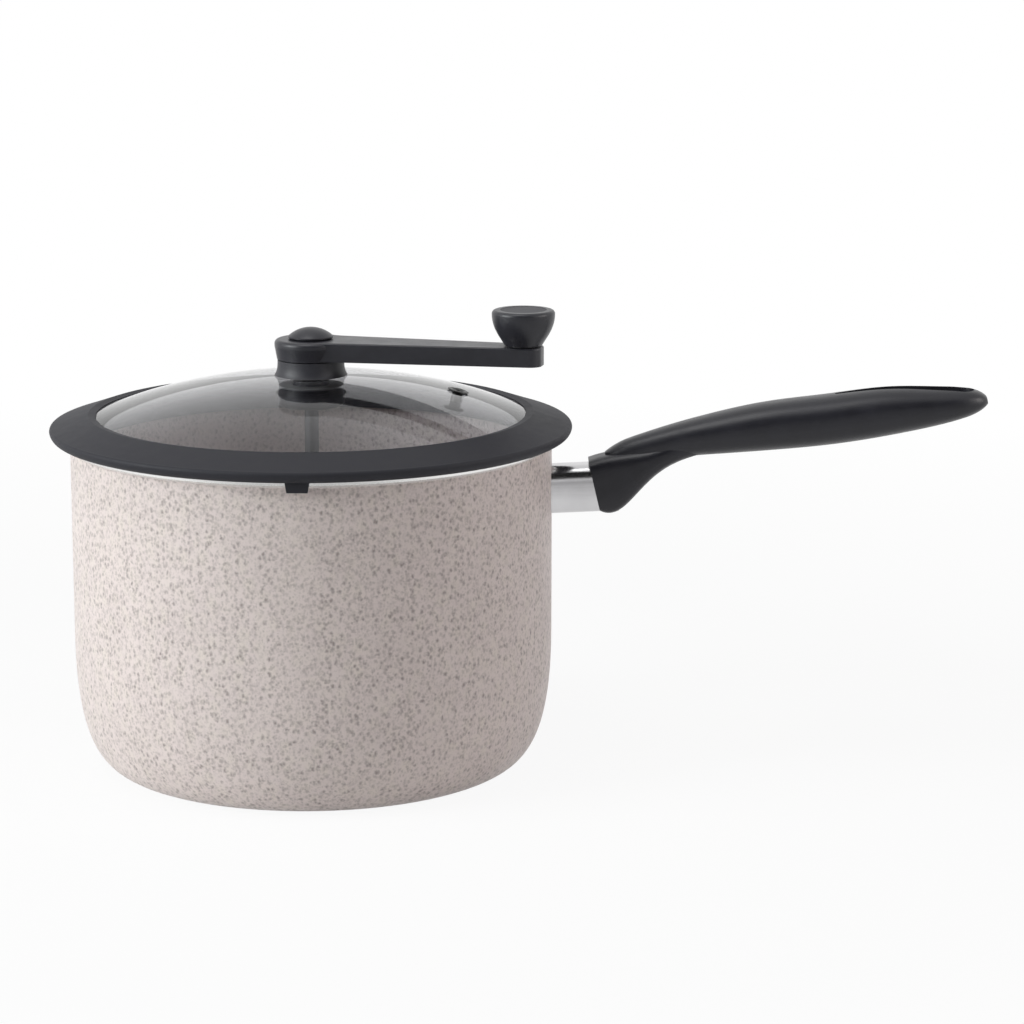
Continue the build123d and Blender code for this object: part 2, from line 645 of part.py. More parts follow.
# ---------------------------------------------------------------- knob
def knob_spindle():
    top = POCKET_Z + RETAINER_GAP + RETAINER_T + SPINDLE_PAST
    head = ring(0, SPINDLE_HEAD_R, SPINDLE_Z, SPINDLE_Z + SPINDLE_HEAD_T)
    return KNOB_AXIS * (head + ring(0, SPINDLE_R, SPINDLE_Z, top))


def knob_washer():
    return KNOB_AXIS * ring(SPINDLE_R, KNOB_WASHER_R, HUB_TOP, HUB_TOP + KNOB_WASHER_T)


def knob_retainer():
    low = POCKET_Z + RETAINER_GAP
    return KNOB_AXIS * ring(SPINDLE_R, RETAINER_R, low, low + RETAINER_T)


def crank_knob():
    top = KNOB_Z + KNOB_H
    widest = top - KNOB_ROUND
    outline = [
        Line((0, KNOB_Z), (KNOB_BASE_R, KNOB_Z)),
        Bezier((KNOB_BASE_R, KNOB_Z), (KNOB_BASE_R + KNOB_FLARE_OUT, KNOB_Z + KNOB_FLARE_LOW),
               (KNOB_R, KNOB_Z + KNOB_FLARE_HIGH), (KNOB_R, widest)),
        CenterArc((KNOB_R - KNOB_ROUND, widest), KNOB_ROUND, 0, 90),
        Polyline((KNOB_R - KNOB_ROUND, top), (0, top), (0, KNOB_Z)),
    ]
    bore = ring(0, SPINDLE_R + SPINDLE_FIT, KNOB_Z, top)
    pocket = ring(0, RETAINER_R + RETAINER_ROOM, POCKET_Z, top)
    recess = ring(0, KNOB_CAP_R + KNOB_CAP_FIT, top - KNOB_CAP_SUNK - KNOB_CAP_T, top)
    return KNOB_AXIS * (turned(*outline) - bore - pocket - recess)


def knob_cap():
    top = KNOB_Z + KNOB_H - KNOB_CAP_SUNK
    return KNOB_AXIS * ring(0, KNOB_CAP_R, top - KNOB_CAP_T, top)


NODES = {
    "pot_shell": pot_shell, "base_disc": base_disc,
    "handle_bracket": handle_bracket, "flame_guard": flame_guard, "handle_grip": handle_grip,
    "handle_washer": handle_washer, "handle_screw": handle_screw,
    "lid_glass": lid_glass, "lid_seal": lid_seal, "vent_eyelet": vent_eyelet,
    "collar_top": collar_top, "collar_nut": collar_nut, "gasket_top": gasket_top,
    "gasket_bottom": gasket_bottom, "bush_upper": bush_upper, "bush_lower": bush_lower,
    "crank_arm": crank_arm, "crank_cap": crank_cap, "crank_screw": crank_screw,
    "crank_washer": crank_washer, "drive_shaft": drive_shaft,
    "thrust_washer": thrust_washer, "shaft_circlip": shaft_circlip,
    "stirrer_hub": stirrer_hub, "stirrer_pin": stirrer_pin,
    "stirrer_blade_a": lambda: stirrer_blade(BLADE_TURNS[0]),
    "stirrer_blade_b": lambda: stirrer_blade(BLADE_TURNS[1]),
    "knob_spindle": knob_spindle, "knob_washer": knob_washer, "knob_retainer": knob_retainer,
    "crank_knob": crank_knob, "knob_cap": knob_cap,
}

os.makedirs("parts", exist_ok=True)
for name, make in NODES.items():
    export_step(make(), f"parts/{name}.step")
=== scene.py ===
"""Stovetop popcorn popper: finishes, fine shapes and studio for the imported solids.

Metres, +Z up, origin under the middle of the pot, handle along +X, seen along +Y.
"""
from math import asin, pi, radians

import bpy
from mathutils import Matrix, Vector


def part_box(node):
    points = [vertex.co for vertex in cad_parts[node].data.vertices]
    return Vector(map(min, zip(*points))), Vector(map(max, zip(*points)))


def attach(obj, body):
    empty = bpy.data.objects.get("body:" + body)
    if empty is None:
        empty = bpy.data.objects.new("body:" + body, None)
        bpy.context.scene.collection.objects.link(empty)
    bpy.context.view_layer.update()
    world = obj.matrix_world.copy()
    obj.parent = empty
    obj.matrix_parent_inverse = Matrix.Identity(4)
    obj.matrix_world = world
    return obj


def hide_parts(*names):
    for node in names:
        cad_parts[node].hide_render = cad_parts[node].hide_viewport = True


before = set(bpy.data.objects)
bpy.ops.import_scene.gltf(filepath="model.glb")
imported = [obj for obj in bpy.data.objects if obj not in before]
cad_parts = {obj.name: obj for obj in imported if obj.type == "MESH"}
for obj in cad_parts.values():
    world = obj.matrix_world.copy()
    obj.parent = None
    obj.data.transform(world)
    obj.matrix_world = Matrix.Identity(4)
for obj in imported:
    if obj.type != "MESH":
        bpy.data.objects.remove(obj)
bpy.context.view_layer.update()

bl_info = {
    "name": "Stovetop popcorn popper",
    "version": (1, 0, 0),
    "blender": (4, 5, 0),
    "location": "3D View > Sidebar > Popper",
    "description": "Finishes and fine shapes for a popcorn popper with a hand crank",
    "category": "Object",
}

MM = 0.001
DOME_R = 258.2 * MM       # outer radius of the glass dome
# Rolled ends of the eyelet, ring by ring: (times as wide, mm further out).
TOP_ROLL = ((1.15, 0.5), (1.35, 0.35), (1.28, -0.05), (1.05, -0.35))
LOW_ROLL = ((1.1, 0.2), (1.2, 0.05), (1.1, -0.1))
# Studio, in metres.
FLOOR_WIDTH = 12.0
CARD_WIDTH = 3.0
LAMP_AIM = (0.05, 0.0, 0.1)
SENSOR = 36.0             # mm
# Lamps: (name, its power in StageLook, place, width, tint).
LAMPS = (
    ("key_lamp", "key", (-1.6, -0.65, 0.75), 1.0, (0.96, 1.0, 1.0)),
    ("side_lamp", "side", (1.5, -0.35, 0.7), 0.8, (1.0, 0.95, 0.94)),
    ("top_lamp", "top", (-0.25, -0.3, 1.55), 0.8, (1.0, 1.0, 1.0)),
)
# Cards: (name, place, turn, depth, brightness).
CARDS = (
    ("dark_card", (0.1, -2.3, 1.5), (pi / 2, 0.0, 0.0), 2.5, 0.004),
    ("grey_card", (0.1, -1.5, 0.001), (0.0, 0.0, 0.0), 1.7, 0.38),
)


# ---------------------------------------------------------------- properties
class PotLook(bpy.types.PropertyGroup):
    coat: bpy.props.FloatVectorProperty(
        name="Coat", description="Colour of the stone-like coat", subtype="COLOR", size=3,
        min=0.0, max=1.0, default=(0.71, 0.622, 0.60))
    fleck: bpy.props.FloatVectorProperty(
        name="Flecks", description="Colour of the small dark flecks in the coat", subtype="COLOR", size=3,
        min=0.0, max=1.0, default=(0.27, 0.23, 0.22))
    fleck_size: bpy.props.FloatProperty(
        name="Fleck spacing", description="Distance from fleck to fleck", unit="LENGTH",
        min=0.0005, max=0.01, default=0.0019)
    lip_depth: bpy.props.FloatProperty(
        name="Bare lip", description="Height of the machined band without coat, below the pot's top",
        unit="LENGTH", min=0.001, max=0.01, default=0.0042)
    grooves: bpy.props.IntProperty(
        name="Grooves", description="Number of grooves turned in the steel disc", min=0, max=12, default=12)
    groove_land: bpy.props.FloatProperty(
        name="Land", description="Flat left between two grooves of the disc", unit="LENGTH",
        min=0.001, max=0.01, default=0.0052)
    groove_side: bpy.props.FloatProperty(
        name="Groove side", description="Width of each sloping side of a groove", unit="LENGTH",
        min=0.0001, max=0.001, default=0.00045)
    groove_depth: bpy.props.FloatProperty(
        name="Groove depth", description="Depth of a groove", unit="LENGTH",
        min=0.0001, max=0.001, default=0.0003)


class HandleLook(bpy.types.PropertyGroup):
    plastic: bpy.props.FloatVectorProperty(
        name="Handle plastic", description="Colour of the moulded handle", subtype="COLOR", size=3,
        min=0.0, max=1.0, default=(0.0135, 0.0135, 0.0178))
    crank: bpy.props.FloatVectorProperty(
        name="Crank plastic", description="Colour of the moulded crank, knob and collar", subtype="COLOR",
        size=3, min=0.0, max=1.0, default=(0.0185, 0.0185, 0.0235))
    grain: bpy.props.FloatProperty(
        name="Grain", description="Size of the mould's fine grain", unit="LENGTH",
        min=0.0001, max=0.002, default=0.00032)
    gloss: bpy.props.FloatProperty(
        name="Roughness", description="Roughness of the moulded plastic", subtype="FACTOR",
        min=0.05, max=1.0, default=0.35)


class LidLook(bpy.types.PropertyGroup):
    silicone: bpy.props.FloatVectorProperty(
        name="Silicone", description="Colour of the ring round the glass", subtype="COLOR", size=3,
        min=0.0, max=1.0, default=(0.021, 0.021, 0.026))
    glass: bpy.props.FloatVectorProperty(
        name="Glass", description="Tint of the glass", subtype="COLOR", size=3,
        min=0.0, max=1.0, default=(0.855, 0.857, 0.87))
    gasket: bpy.props.FloatVectorProperty(
        name="Gaskets", description="Colour of the washers above and below the glass", subtype="COLOR",
        size=3, min=0.0, max=1.0, default=(0.2, 0.2, 0.2))
    bush: bpy.props.FloatVectorProperty(
        name="Bushes", description="Colour of the bushes that carry the shaft", subtype="COLOR", size=3,
        min=0.0, max=1.0, default=(0.6, 0.58, 0.5))
    eyelet_r: bpy.props.FloatProperty(
        name="Eyelet radius", description="Radius of the vent's tube", unit="LENGTH",
        min=0.001, max=0.0022, default=0.00215)
    eyelet_wall: bpy.props.FloatProperty(
        name="Eyelet wall", description="Thickness of the eyelet's sheet", unit="LENGTH",
        min=0.0002, max=0.001, default=0.00045)
    eyelet_length: bpy.props.FloatProperty(
        name="Eyelet length", description="Length of the tube between its rolled ends", unit="LENGTH",
        min=0.002, max=0.006, default=0.004)


def steel_colour(name, what, default):
    """A colour property for one kind of steel."""
    return bpy.props.FloatVectorProperty(
        name=name, description="Colour of " + what, subtype="COLOR", size=3,
        min=0.0, max=1.0, default=default)


class SteelLook(bpy.types.PropertyGroup):
    disc: steel_colour("Disc", "the disc under the pot", (0.60, 0.59, 0.57))
    guard: steel_colour("Flame guard", "the polished sleeve at the handle", (0.58, 0.575, 0.585))
    bracket: steel_colour("Bracket", "the bracket inside the sleeve", (0.55, 0.55, 0.54))
    fastener: steel_colour("Fasteners", "screws, washers and the knob's spindle", (0.62, 0.62, 0.6))
    shaft: steel_colour("Shaft", "the shaft through the lid", (0.075, 0.075, 0.08))
    stirrer: steel_colour("Stirrer", "the stirrer's blades and hub", (0.62, 0.61, 0.6))
    # Painted shade: the knob washer is made near black so the thin gap between knob and arm reads as a
    # shadow line.
    washer: steel_colour("Knob washer", "the painted_shade washer under the knob", (0.05, 0.05, 0.05))
    eyelet: steel_colour("Eyelet", "the vent's eyelet", (0.07, 0.07, 0.07))


class StageLook(bpy.types.PropertyGroup):
    place: bpy.props.FloatVectorProperty(
        name="Camera", description="Place of the camera", subtype="TRANSLATION", unit="LENGTH", size=3,
        default=(0.08507, -1.46237, 0.41506))
    pitch: bpy.props.FloatProperty(
        name="Camera pitch", description="How far the camera looks down", subtype="ANGLE",
        default=radians(11.841))
    lens: bpy.props.FloatProperty(
        name="Lens", description="Focal length on a 36 mm sensor", subtype="DISTANCE_CAMERA", default=123.06)
    key: bpy.props.FloatProperty(
        name="Key lamp", description="Power of the large lamp on the left", unit="POWER", default=31.5)
    side: bpy.props.FloatProperty(
        name="Side lamp", description="Power of the smaller lamp on the right", unit="POWER", default=7.5)
    top: bpy.props.FloatProperty(
        name="Top lamp", description="Power of the lamp above and behind", unit="POWER", default=6.5)
    sky: bpy.props.FloatProperty(
        name="Room light", description="Strength of the even light of the room", min=0.0, default=0.13)


# ---------------------------------------------------------------- materials
class Link:
    """A node's output that takes part in arithmetic; each step adds a Math node."""

    def __init__(self, tree, socket):
        self.tree = tree
        self.socket = socket

    def maths(self, operation, *values):
        node = self.tree.nodes.new("ShaderNodeMath")
        node.operation = operation
        for place, value in zip(node.inputs, values):
            if isinstance(value, Link):
                self.tree.links.new(value.socket, place)
            else:
                place.default_value = value
        return Link(self.tree, node.outputs[0])

    def __add__(self, other):
        return self.maths("ADD", self, other)

    def __sub__(self, other):
        return self.maths("SUBTRACT", self, other)

    def __rsub__(self, other):
        return self.maths("SUBTRACT", other, self)

    def __mul__(self, other):
        return self.maths("MULTIPLY", self, other)

    def __truediv__(self, other):
        return self.maths("DIVIDE", self, other)

    def __pow__(self, other):
        return self.maths("POWER", self, other)

    __radd__ = __add__
    __rmul__ = __mul__

    def clipped(self):
        """The value kept between 0 and 1."""
        return self.maths("MAXIMUM", self.maths("MINIMUM", self, 1.0), 0.0)

    def between(self, low, high):
        """0 at low, 1 at high, straight between them."""
        return ((self - low) / (high - low)).clipped()


class Nodes:
    """A node tree, and the one method that adds any node but a Math node to it."""

    def __init__(self, tree):
        self.tree = tree

    def node(self, kind, settings=None, sockets=None, output=0):
        """Add a node: its settings first, then the values or links of its sockets."""
        node = self.tree.nodes.new(kind)
        for key, value in (settings or {}).items():
            setattr(node, key, value)
        for key, value in (sockets or {}).items():
            if isinstance(value, Link):
                self.tree.links.new(value.socket, node.inputs[key])
            else:
                node.inputs[key].default_value = value
        return Link(self.tree, node.outputs[output])

    def white_for_camera(self, lit, plain, share):
        """Plain white to the camera, to gloss and through glass; lit to all other light."""
        camera = self.node("ShaderNodeLightPath", output="Is Camera Ray")
        gloss = self.node("ShaderNodeLightPath", output="Is Glossy Ray")
        through = self.node("ShaderNodeLightPath", output="Is Transmission Ray")
        white = self.node(plain, sockets={"Color": (1.0, 1.0, 1.0, 1.0)})
        seen = (camera + gloss + through).clipped() * share
        return self.node("ShaderNodeMixShader", sockets={0: seen, 1: lit, 2: white})

    def show(self, surface, end):
        """Lead a shader to the tree's end node."""
        self.tree.links.new(surface.socket, self.tree.nodes[end].inputs["Surface"])


class Finish(Nodes):
    """A material, built from one Principled shader and the nodes in front of it."""

    def __init__(self, name, **constants):
        self.material = bpy.data.materials.new(name)
        self.material.use_nodes = True
        super().__init__(self.material.node_tree)
        self.shader = self.tree.nodes["Principled BSDF"]
        self.place = self.node("ShaderNodeTexCoord", output="Object")
        for socket, value in constants.items():
            self.shader.inputs[socket.replace("_", " ")].default_value = self.rgba(value)

    @staticmethod
    def rgba(value):
        """A colour with its alpha; anything else as it is."""
        return (*value, 1.0) if hasattr(value, "__len__") and len(value) == 3 else value

    def scaled(self, scale):
        """Object coordinates times a scale for each axis."""
        return self.node("ShaderNodeMapping", sockets={"Vector": self.place, "Scale": scale})

    def noise(self, size, detail=2.0, stretch=(1.0, 1.0, 1.0), rough=0.5):
        """Noise whose lumps are about as large as size, in metres."""
        scale = tuple(1.0 / (size * side) for side in stretch)
        sockets = {"Vector": self.scaled(scale), "Scale": 1.0, "Detail": detail, "Roughness": rough}
        return self.node("ShaderNodeTexNoise", sockets=sockets)

    def cells(self, size, stretch=(1.0, 1.0, 1.0), output="Distance"):
        """Distance to the nearest of points that are about size apart."""
        scale = tuple(1.0 / (size * side) for side in stretch)
        return self.node("ShaderNodeTexVoronoi", {"feature": "F1"},
                         {"Vector": self.scaled(scale), "Scale": 1.0}, output)

    def axes(self):
        """X, Y and Z of the object coordinates."""
        place = {"Vector": self.place}
        return [self.node("ShaderNodeSeparateXYZ", sockets=place, output=axis) for axis in "XYZ"]

    def radius(self):
        """Distance from the Z axis."""
        x, y, _ = self.axes()
        return (x * x + y * y) ** 0.5

    def mix(self, factor, first, second):
        """A colour between two colours."""
        sockets = {0: factor, 6: self.rgba(first), 7: self.rgba(second)}
        return self.node("ShaderNodeMix", {"data_type": "RGBA"}, sockets, 2)

    def feed(self, socket, link):
        """Lead a value to a socket of the shader."""
        self.tree.links.new(link.socket, self.shader.inputs[socket])

    def bump(self, height, depth, strength=1.0):
        """Raise the surface by height times depth, in metres."""
        self.feed("Normal", self.node("ShaderNodeBump", sockets={
            "Height": height, "Distance": depth, "Strength": strength}))


def shade(colour, factor):
    """A colour made darker or lighter."""
    return tuple(factor * side for side in colour)


def soft_dots(pot, spacing, stretch, wander, core, edge):
    """1 in the middle of soft spots about spacing apart, 0 between them; some spots are weaker."""
    distance = pot.cells(spacing, stretch)
    strength = pot.cells(spacing, stretch, "Color") * 1.5 - 0.1
    return (1.0 - (distance + (wander - 0.5) * 0.7).between(core, edge)) * strength.clipped()


def speckled_coat(look):
    """Pale coat with fine upright flecks, and a bare turned lip."""
    pot = Finish("speckled_coat", Metallic=0.0, IOR=1.5, Specular_IOR_Level=0.3)
    _, _, z = pot.axes()
    coat_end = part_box("pot_shell")[1].z - look.lip_depth
    fade = 0.2 * MM                     # over which the coat ends
    upright = (1.0, 1.0, 1.25)
    spacing = look.fleck_size
    fleck = tuple(look.fleck)
    cream, bare_metal = (0.72, 0.69, 0.55), (0.80, 0.80, 0.79)
    drift = pot.noise(20 * MM, 3.0)
    wander = pot.noise(spacing * 0.5, 1.0)
    flecks = soft_dots(pot, spacing, upright, wander, 0.05, 0.6)
    small = soft_dots(pot, spacing * 0.7, upright, wander, 0.05, 0.52)
    pale = soft_dots(pot, spacing * 2.6, (1.0, 1.0, 1.3), wander, 0.2, 0.8)
    worms = pot.noise(spacing * 0.42, 1.0, upright).between(0.55, 0.76)
    colour = pot.mix(drift.between(0.3, 0.7) * 0.35, tuple(look.coat), shade(look.coat, 0.86))
    colour = pot.mix(pale * 0.2, colour, cream)
    colour = pot.mix(worms * 0.3, colour, fleck)
    colour = pot.mix(small * 0.5, colour, fleck)
    colour = pot.mix(flecks * 0.85, colour, fleck)
    bare = z.between(coat_end - fade, coat_end)
    coated = 1.0 - bare
    pot.feed("Base Color", pot.mix(bare, colour, bare_metal))
    pot.feed("Metallic", bare)
    turning = pot.noise(0.22 * MM, 0.0, (400.0, 400.0, 1.0))
    rough = drift * 0.14 + 0.36 + flecks * 0.1
    pot.feed("Roughness", rough * coated + (turning * 0.14 + 0.17) * bare)
    grain = pot.noise(0.9 * MM, 3.0) * coated + turning * bare * 0.25
    pot.bump(grain - flecks * 0.35 * coated, 0.06 * MM, 0.6)
    return pot.material


def turned_steel(name, colour, rough):
    """Steel with fine rings from turning."""
    steel = Finish(name, Metallic=1.0)
    radius = steel.radius()
    flat = {"noise_dimensions": "1D"}
    lines = steel.node("ShaderNodeTexNoise", flat, {"W": radius * 3500.0, "Detail": 2.0})
    broad = steel.node("ShaderNodeTexNoise", flat, {"W": radius * 260.0, "Detail": 2.0})
    stain = steel.noise(12 * MM, 3.0)
    steel.feed("Base Color", steel.mix(stain.between(0.45, 0.8) * 0.35, tuple(colour), shade(colour, 0.72)))
    steel.feed("Roughness", lines * 0.16 + broad * 0.12 + rough)
    steel.bump(lines, 0.03 * MM, 0.5)
    return steel.material


def drawn_steel(name, colour, rough, along):
    """Steel with faint lines along one axis, as rod, strip and polished tube have."""
    steel = Finish(name, Metallic=1.0)
    line, line_length = 0.3 * MM, 90.0
    stretch = tuple(line_length if axis == along else 1.0 for axis in "xyz")
    lines = steel.noise(line, 1.0, stretch)
    smear = steel.noise(10 * MM, 3.0)
    steel.feed("Base Color", steel.mix(smear.between(0.4, 0.8) * 0.3, tuple(colour), shade(colour, 0.78)))
    steel.feed("Roughness", lines * 0.08 + smear * 0.08 + rough)
    steel.bump(lines, 0.012 * MM, 0.4)
    return steel.material


def moulded_black(name, colour, look, rough=None):
    """Black plastic with a fine mould grain and faint handling marks."""
    base = look.gloss if rough is None else rough
    plastic = Finish(name, IOR=1.5, Specular_IOR_Level=0.38)
    grain = plastic.noise(look.grain, 2.0)
    cloud = plastic.noise(9 * MM, 4.0)
    wear = plastic.noise(2.2 * MM, 2.0, (3.0, 1.0, 1.0)).between(0.56, 0.72)
    clouded = plastic.mix(cloud.between(0.35, 0.7) * 0.55, tuple(colour), shade(colour, 1.6))
    plastic.feed("Base Color", clouded)
    plastic.feed("Roughness", cloud * 0.16 + (base - 0.08) + wear * 0.06)
    plastic.bump(grain, 0.05 * MM, 0.55)
    return plastic.material


def rubber(name, colour, rough=0.6):
    """Matte silicone with a dusty bloom."""
    soft = Finish(name, IOR=1.41, Specular_IOR_Level=0.3)
    bloom = soft.noise(6 * MM, 4.0, (1.0, 1.0, 0.5))
    dust = soft.noise(0.7 * MM, 1.0).between(0.66, 0.8)
    clean = soft.mix(bloom.between(0.3, 0.75) * 0.5, tuple(colour), shade(colour, 1.35))
    soft.feed("Base Color", soft.mix(dust * 0.25, clean, shade(colour, 2.6)))
    soft.feed("Roughness", bloom * 0.16 + (rough - 0.08))
    soft.bump(soft.noise(0.4 * MM, 2.0), 0.04 * MM, 0.5)
    return soft.material


def clear_glass(name, tint):
    """Clear glass: what is behind shows through, under its own reflections."""
    glass = Finish(name)
    glass.tree.nodes.remove(glass.shader)
    through = glass.node("ShaderNodeBsdfTransparent", sockets={"Color": (*tint, 1.0)})
    shine = glass.node("ShaderNodeBsdfGlossy", sockets={"Color": (1.0, 1.0, 1.0, 1.0), "Roughness": 0.05})
    smear = glass.noise(20 * MM, 4.0).between(0.4, 0.8)
    facing = glass.node("ShaderNodeLayerWeight", sockets={"Blend": 0.5}, output="Facing")
    steepness, at_edge, head_on, smeared = 6.5, 1.15, 0.03, 0.012
    mirror = facing ** steepness * at_edge + head_on + smear * smeared
    surface = glass.node("ShaderNodeMixShader", sockets={0: mirror.clipped(), 1: through, 2: shine})
    glass.show(surface, "Material Output")
    return glass.material


# ---------------------------------------------------------------- shared steps
def dress(material, *nodes):
    """Give CAD nodes their finish."""
    for name in nodes:
        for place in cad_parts[name].material_slots:
            place.material = material


def deselect():
    """Leave edit mode and select nothing."""
    if bpy.context.object and bpy.context.object.mode != "OBJECT":
        bpy.ops.object.mode_set(mode="OBJECT")
    bpy.ops.object.select_all(action="DESELECT")


def pick(piece, wanted):
    """Go to edit mode with only the faces that wanted accepts selected."""
    bpy.ops.object.mode_set(mode="EDIT")
    bpy.ops.mesh.select_mode(type="FACE")
    bpy.ops.mesh.select_all(action="DESELECT")
    bpy.ops.object.mode_set(mode="OBJECT")
    for face in piece.data.polygons:
        face.select = wanted(face)
    bpy.ops.object.mode_set(mode="EDIT")


def pick_points(piece, wanted):
    """Go to edit mode with only the points that wanted accepts selected."""
    bpy.ops.object.mode_set(mode="EDIT")
    bpy.ops.mesh.select_mode(type="VERT")
    bpy.ops.mesh.select_all(action="DESELECT")
    bpy.ops.object.mode_set(mode="OBJECT")
    for point in piece.data.vertices:
        point.select = wanted(point.co)
    bpy.ops.object.mode_set(mode="EDIT")


def modify(piece, kind, **settings):
    """Add a modifier and apply it."""
    modifier = piece.modifiers.new(kind, kind)
    for key, value in settings.items():
        setattr(modifier, key, value)
    bpy.ops.object.modifier_apply(modifier=modifier.name)


def finish_piece(piece, name, body, slot, material, *nodes):
    """Name a modelled piece, put its place in its mesh and let it stand for its CAD nodes."""
    bpy.ops.object.mode_set(mode="OBJECT")
    piece.name = name
    bpy.ops.object.transform_apply(location=True, rotation=True, scale=True)
    bpy.ops.object.shade_smooth_by_angle(angle=radians(35))
    piece.data.materials.clear()
    piece.data.materials.append(material)
    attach(piece, body)
    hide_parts(*nodes)


def grooved_disc(look, material):
    """The steel disc under the pot, with fine grooves turned in its face."""
    low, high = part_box("base_disc")
    middle = (0.0, 0.0, (low.z + high.z) / 2)
    deselect()
    bpy.ops.mesh.primitive_cylinder_add(vertices=160, radius=high.x, depth=high.z - low.z, location=middle)
    disc = bpy.context.object
    pick(disc, lambda face: face.normal.z < -0.9)
    for _ in range(look.grooves):
        bpy.ops.mesh.inset(thickness=look.groove_land)
        bpy.ops.mesh.inset(thickness=look.groove_side, depth=-look.groove_depth)
        bpy.ops.mesh.inset(thickness=look.groove_side, depth=look.groove_depth)
    finish_piece(disc, "turned_disc", "pot", "base_steel", material, "base_disc")


def rolled_eyelet(look, material):
    """The vent's eyelet: a thin tube through the glass, rolled over at both ends."""
    low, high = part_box("vent_eyelet")
    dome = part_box("lid_glass")[1].z
    tilt = asin((low.x + high.x) / 2 / DOME_R)
    deselect()
    bpy.ops.mesh.primitive_cylinder_add(
        vertices=40, radius=look.eyelet_r, depth=look.eyelet_length, end_fill_type="NOTHING")
    eyelet = bpy.context.object
    near_end = look.eyelet_length / 2 - 0.1 * MM
    for end, rolls in ((1.0, TOP_ROLL), (-1.0, LOW_ROLL)):
        pick_points(eyelet, lambda point: point.z * end > near_end)
        for wider, rise in rolls:
            step = (0.0, 0.0, end * rise * MM)
            bpy.ops.mesh.extrude_region_move(TRANSFORM_OT_translate={"value": step})
            bpy.ops.transform.resize(value=(wider, wider, 1.0))
    bpy.ops.object.mode_set(mode="OBJECT")
    modify(eyelet, "SOLIDIFY", thickness=look.eyelet_wall, offset=0.0)
    modify(eyelet, "SUBSURF", levels=2, render_levels=2)
    to_glass = Matrix.Translation((0.0, 0.0, DOME_R - look.eyelet_length / 2))
    to_dome = Matrix.Translation((0.0, 0.0, dome - DOME_R))
    eyelet.matrix_world = to_dome @ Matrix.Rotation(tilt, 4, "Y") @ to_glass
    finish_piece(eyelet, "rolled_eyelet", "lid", "eyelet_metal", material, "vent_eyelet")


# ---------------------------------------------------------------- operators
class PotOperator(bpy.types.Operator):
    """Coat the pot and finish the steel disc under it"""
    bl_idname = "popper.pot"
    bl_label = "Pot"

    def execute(self, context):
        look = context.scene.popper_pot
        dress(speckled_coat(look), "pot_shell")
        grooved_disc(look, turned_steel("base_steel", context.scene.popper_steel.disc, 0.26))
        return {"FINISHED"}


class HandleOperator(bpy.types.Operator):
    """Finish the handle, its flame guard and what fixes it"""
    bl_idname = "popper.handle"
    bl_label = "Handle"

    def execute(self, context):
        look = context.scene.popper_handle
        steel = context.scene.popper_steel
        dress(moulded_black("handle_black", look.plastic, look), "handle_grip")
        dress(drawn_steel("guard_steel", steel.guard, 0.1, "x"), "flame_guard")
        dress(drawn_steel("bracket_steel", steel.bracket, 0.3, "x"), "handle_bracket")
        dress(drawn_steel("fastener_steel", steel.fastener, 0.25, "z"),
              "handle_washer", "handle_screw", "crank_screw", "crank_washer")
        return {"FINISHED"}


class LidOperator(bpy.types.Operator):
    """Finish the glass, the silicone ring and the vent's eyelet"""
    bl_idname = "popper.lid"
    bl_label = "Lid"

    def execute(self, context):
        look = context.scene.popper_lid
        dress(clear_glass("lid_glass", look.glass), "lid_glass")
        dress(rubber("seal_silicone", look.silicone), "lid_seal")
        rolled_eyelet(look, drawn_steel("eyelet_steel", context.scene.popper_steel.eyelet, 0.3, "z"))
        return {"FINISHED"}


class CollarOperator(bpy.types.Operator):
    """Finish the collar on the glass, its nut, gaskets and bushes"""
    bl_idname = "popper.collar"
    bl_label = "Collar"

    def execute(self, context):
        look = context.scene.popper_handle
        lid = context.scene.popper_lid
        dress(moulded_black("collar_black", look.crank, look, 0.45), "collar_top", "collar_nut")
        dress(rubber("gasket_silicone", lid.gasket), "gasket_top", "gasket_bottom")
        dress(rubber("bush_plastic", lid.bush, 0.4), "bush_upper", "bush_lower")
        return {"FINISHED"}


class StirrerOperator(bpy.types.Operator):
    """Finish the shaft and the stirrer"""
    bl_idname = "popper.stirrer"
    bl_label = "Shaft and stirrer"

    def execute(self, context):
        steel = context.scene.popper_steel
        dress(drawn_steel("shaft_steel", steel.shaft, 0.42, "z"),
              "drive_shaft", "thrust_washer", "shaft_circlip")
        dress(drawn_steel("stirrer_steel", steel.stirrer, 0.3, "z"),
              "stirrer_hub", "stirrer_pin", "stirrer_blade_a", "stirrer_blade_b")
        return {"FINISHED"}


class CrankOperator(bpy.types.Operator):
    """Finish the crank's arm and its cap"""
    bl_idname = "popper.crank"
    bl_label = "Crank"

    def execute(self, context):
        look = context.scene.popper_handle
        dress(moulded_black("crank_black", look.crank, look), "crank_arm", "crank_cap")
        return {"FINISHED"}


class KnobOperator(bpy.types.Operator):
    """Finish the knob and what it turns on"""
    bl_idname = "popper.knob"
    bl_label = "Knob"

    def execute(self, context):
        look = context.scene.popper_handle
        steel = context.scene.popper_steel
        dress(moulded_black("knob_black", look.crank, look), "crank_knob")
        dress(moulded_black("knob_cap_black", look.crank, look, 0.55), "knob_cap")
        dress(drawn_steel("spindle_steel", steel.fastener, 0.25, "z"), "knob_spindle", "knob_retainer")
        # Painted shade: the near-black knob washer darkens the gap under the knob like a shadow line.
        dress(drawn_steel("washer_steel", steel.washer, 0.4, "z"), "knob_washer")
        return {"FINISHED"}


